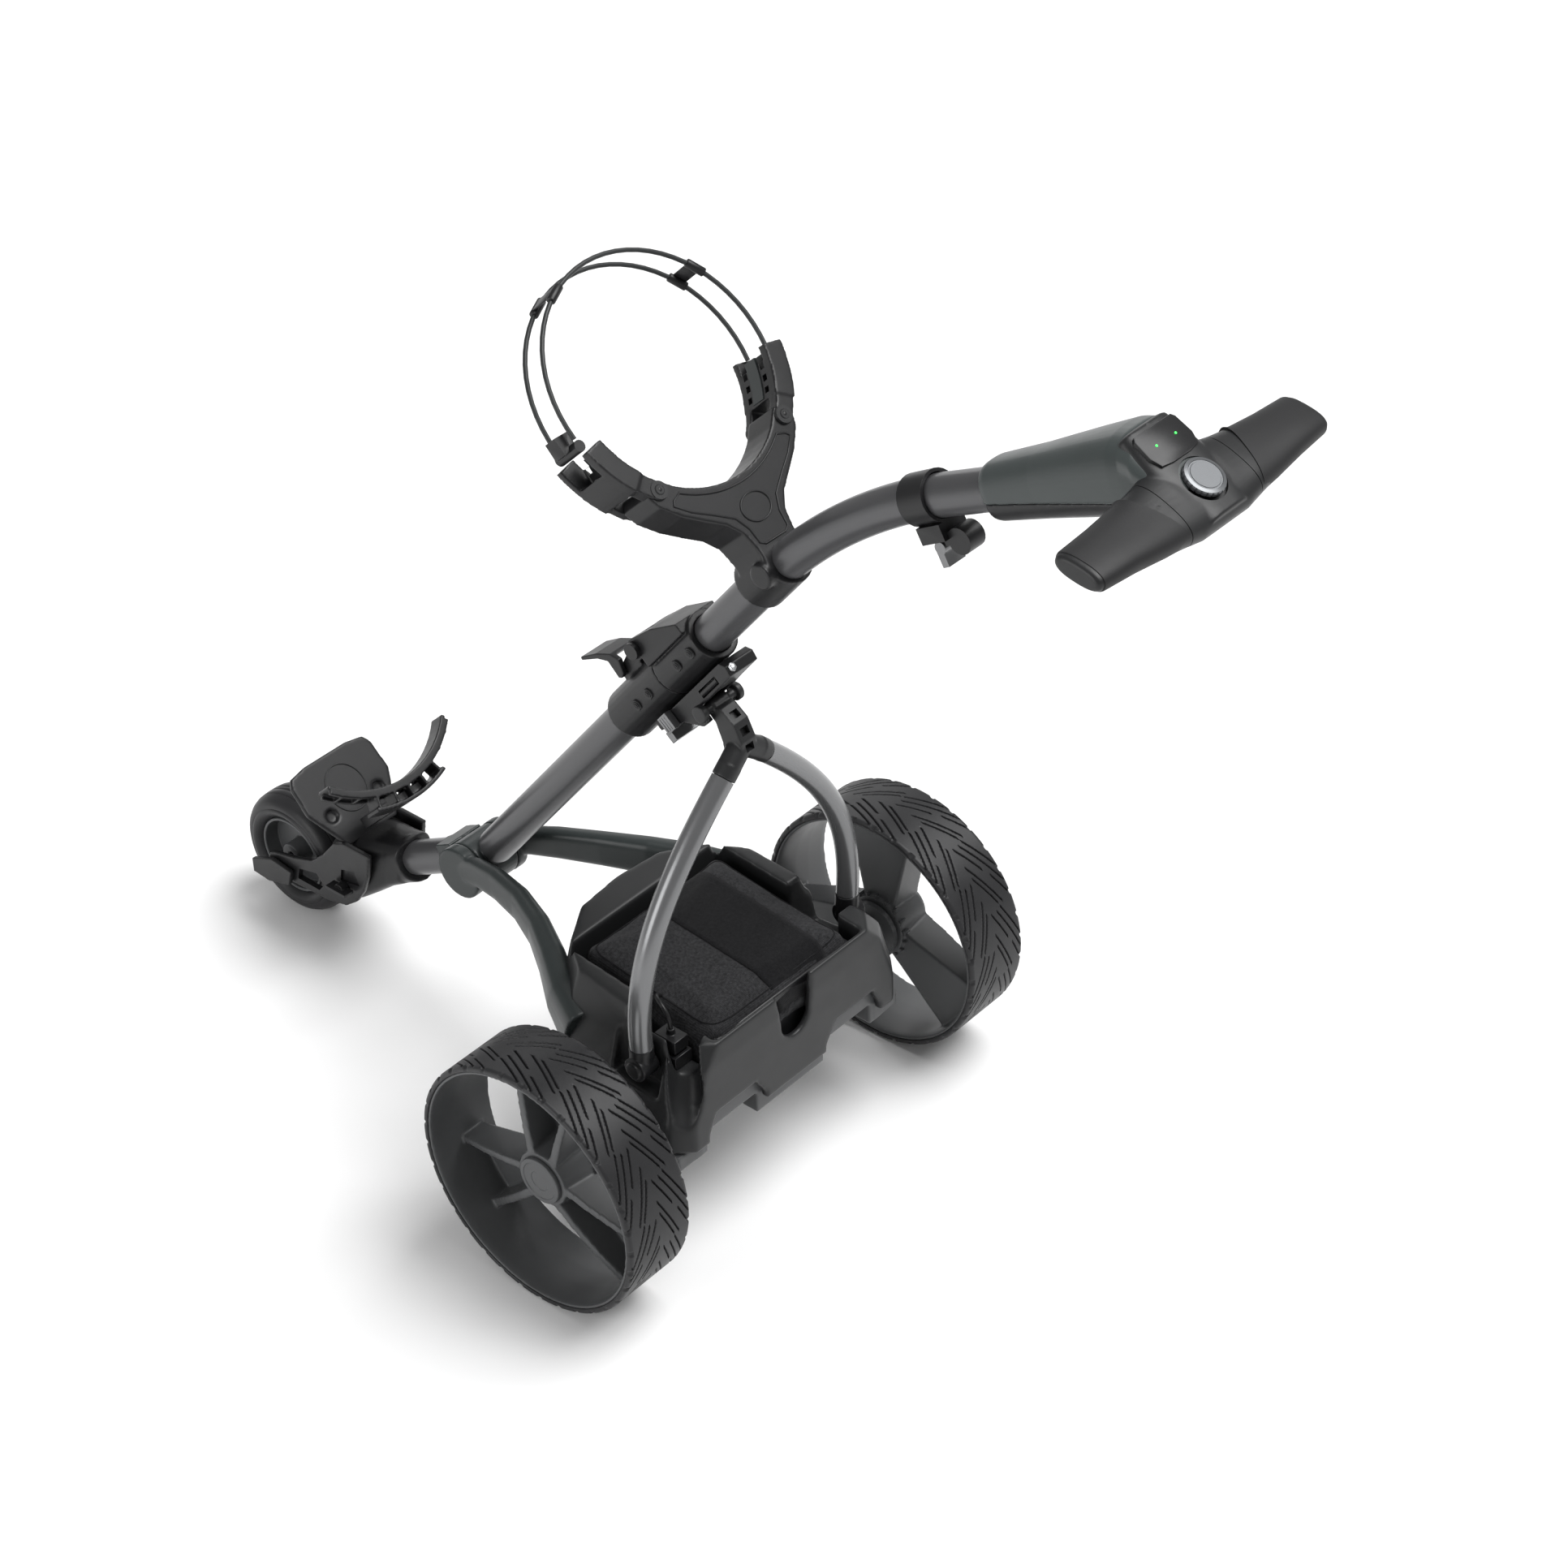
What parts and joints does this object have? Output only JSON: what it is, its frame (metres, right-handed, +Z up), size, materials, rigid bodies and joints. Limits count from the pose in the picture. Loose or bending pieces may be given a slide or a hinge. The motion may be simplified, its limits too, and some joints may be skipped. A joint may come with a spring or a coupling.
{
  "type": "electric golf trolley",
  "caption": "Folding electric golf trolley with large rear wheels, a small front wheel, a battery in a tray, a bag cradle with an elastic strap and a curved handle with a speed dial",
  "frame": {"origin": "on the ground under the middle of the trolley's length and width", "axes": "+Z is up, +Y runs from the front wheel back to the handle, +X is the trolley's left side; its long way lies along Y"},
  "size_m": [0.59, 1.2557, 1.0042],
  "materials": {
    "graphite": "satin graphite lacquer on tube",
    "silver_grey": "satin silver-grey lacquer",
    "plastic": "fine-grained charcoal plastic",
    "dark_plastic": "near-black plastic",
    "slate_plastic": "satin slate-grey plastic",
    "rim_plastic": "satin grey plastic",
    "rubber": "matt dark rubber",
    "grip_rubber": "matt dark rubber",
    "fabric": "black woven nylon",
    "steel": "bright zinc-plated steel",
    "dial_grey": "satin silver paint",
    "cord_rubber": "smooth black elastic"
  },
  "bodies": {
    "chassis": {"battery_tray": "plastic", "tray_undercover": "rim_plastic", "gearbox_case": "rim_plastic", "axle_housing": "rim_plastic", "motor": "dark_plastic", "battery_case": "dark_plastic", "battery_bag": "fabric", "battery_strap": "fabric", "battery_lead": "cord_rubber", "battery_plug": "dark_plastic", "power_socket": "dark_plastic", "arm_left": "slate_plastic", "arm_right": "slate_plastic", "front_socket": "slate_plastic", "front_tube": "graphite", "elbow_bolt": "steel", "front_bracket": "dark_plastic", "bag_plate": "plastic", "lower_cradle": "dark_plastic"},
    "wheel_left": {"rim_left": "rim_plastic", "tyre_left": "rubber"},
    "wheel_right": {"rim_right": "rim_plastic", "tyre_right": "rubber"},
    "axle": {"axle_shaft": "steel", "drive_gear": "steel"},
    "rotor": {"motor_pinion": "steel"},
    "wheel_front": {"front_rim": "rim_plastic", "front_tyre": "rubber"},
    "flap": {"quick_release_flap": "dark_plastic"},
    "nut": {"wing_nut": "dark_plastic"},
    "lower_frame": {"elbow_knuckle": "slate_plastic", "lower_tube": "graphite", "lower_collar": "dark_plastic", "hinge_pin": "dark_plastic", "catch_bracket": "dark_plastic"},
    "tab": {"release_tab": "silver_grey"},
    "latch": {"hinge_latch": "dark_plastic"},
    "legs": {"leg_tube_left": "silver_grey", "leg_tube_right": "silver_grey", "leg_foot_left": "dark_plastic", "leg_foot_right": "dark_plastic", "leg_yoke": "plastic"},
    "handle": {"upper_collar": "dark_plastic", "upper_tube": "graphite", "cradle_yoke": "plastic", "clip_ring": "dark_plastic", "handle_upper_shell": "slate_plastic", "handle_lower_shell": "dark_plastic", "console_bar": "plastic", "grip_left": "grip_rubber", "grip_right": "grip_rubber"},
    "lever": {"clip_lever": "silver_grey"},
    "cradle_arm_left_body": {"cradle_arm_left": "plastic"},
    "cradle_arm_right_body": {"cradle_arm_right": "plastic"},
    "strap": {"strap_cord_front": "cord_rubber", "strap_cord_rear": "cord_rubber", "strap_anchor": "cord_rubber", "strap_hook": "dark_plastic"},
    "stem": {"dial_stem": "steel"},
    "dial": {"speed_dial": "dial_grey"}
  },
  "joints": [
    {"name": "axle_spin", "type": "hinge", "parent": "chassis", "child": "axle", "pos_m": [0, 0.0752, 0.137], "axis": [1, 0, 0], "continuous": true},
    {"name": "wheel_left_spin", "type": "hinge", "parent": "axle", "child": "wheel_left", "pos_m": [0.254, 0.0752, 0.137], "axis": [1, 0, 0], "continuous": true},
    {"name": "wheel_right_spin", "type": "hinge", "parent": "axle", "child": "wheel_right", "pos_m": [-0.254, 0.0752, 0.137], "axis": [1, 0, 0], "continuous": true},
    {"name": "motor_spin", "type": "hinge", "parent": "chassis", "child": "rotor", "pos_m": [0, 0.0422, 0.137], "axis": [1, 0, 0], "continuous": true},
    {"name": "front_wheel_spin", "type": "hinge", "parent": "chassis", "child": "wheel_front", "pos_m": [0, -0.5548, 0.073], "axis": [1, 0, 0], "continuous": true},
    {"name": "front_flap_turn", "type": "hinge", "parent": "chassis", "child": "flap", "pos_m": [0.0478, -0.5828, 0.061], "axis": [1, 0, 0], "range_deg": [0, 60]},
    {"name": "wing_nut_turn", "type": "hinge", "parent": "chassis", "child": "nut", "pos_m": [0.05, -0.4438, 0.098], "axis": [1, 0, 0], "range_deg": [-180, 180]},
    {"name": "frame_fold", "type": "hinge", "parent": "chassis", "child": "lower_frame", "pos_m": [0, -0.2668, 0.1955], "axis": [1, 0, 0], "range_deg": [-16, 0]},
    {"name": "leg_fold", "type": "hinge", "parent": "chassis", "child": "legs", "pos_m": [0, 0.1002, 0.214], "axis": [1, 0, 0], "range_deg": [-35.5, 0]},
    {"name": "handle_fold", "type": "hinge", "parent": "lower_frame", "child": "handle", "pos_m": [0, -0.00123, 0.58125], "axis": [1, 0, 0], "range_deg": [0, 120]},
    {"name": "release_tab_slide", "type": "slide", "parent": "lower_frame", "child": "tab", "axis": [0, 0.628, 0.7782], "range_m": [0, 0.0015], "stiffness_N_per_m": 600},
    {"name": "hinge_latch_turn", "type": "hinge", "parent": "lower_frame", "child": "latch", "pos_m": [0, -0.03135, 0.53643], "axis": [-1, 0, 0], "range_deg": [0, 18]},
    {"name": "clip_lever_turn", "type": "hinge", "parent": "handle", "child": "lever", "pos_m": [0, 0.34991, 0.82323], "axis": [-1, 0, 0], "range_deg": [0, 60]},
    {"name": "cradle_arm_left_swing", "type": "hinge", "parent": "handle", "child": "cradle_arm_left_body", "pos_m": [0.0825, 0.07628, 0.79893], "axis": [0, 0.7206, 0.6934], "range_deg": [0, 25]},
    {"name": "cradle_arm_right_swing", "type": "hinge", "parent": "handle", "child": "cradle_arm_right_body", "pos_m": [-0.0825, 0.07628, 0.79893], "axis": [0, -0.7206, -0.6934], "range_deg": [0, 25]},
    {"name": "strap_swing", "type": "hinge", "parent": "cradle_arm_right_body", "child": "strap", "pos_m": [-0.1195, 0.04286, 0.83366], "axis": [0, -0.7206, -0.6934], "range_deg": [0, 100]},
    {"name": "dial_press", "type": "slide", "parent": "handle", "child": "stem", "axis": [0, -0.4384, -0.8988], "range_m": [0, 0.0015], "stiffness_N_per_m": 500},
    {"name": "dial_turn", "type": "hinge", "parent": "stem", "child": "dial", "pos_m": [0, 0.5962, 0.97], "axis": [0, 0.4384, 0.8988], "continuous": true}
  ],
  "couplings": [
    {"joint": "motor_spin", "follows": "axle_spin", "ratio": -1.8667},
    {"joint": "leg_fold", "follows": "frame_fold", "ratio": 2.2}
  ]
}
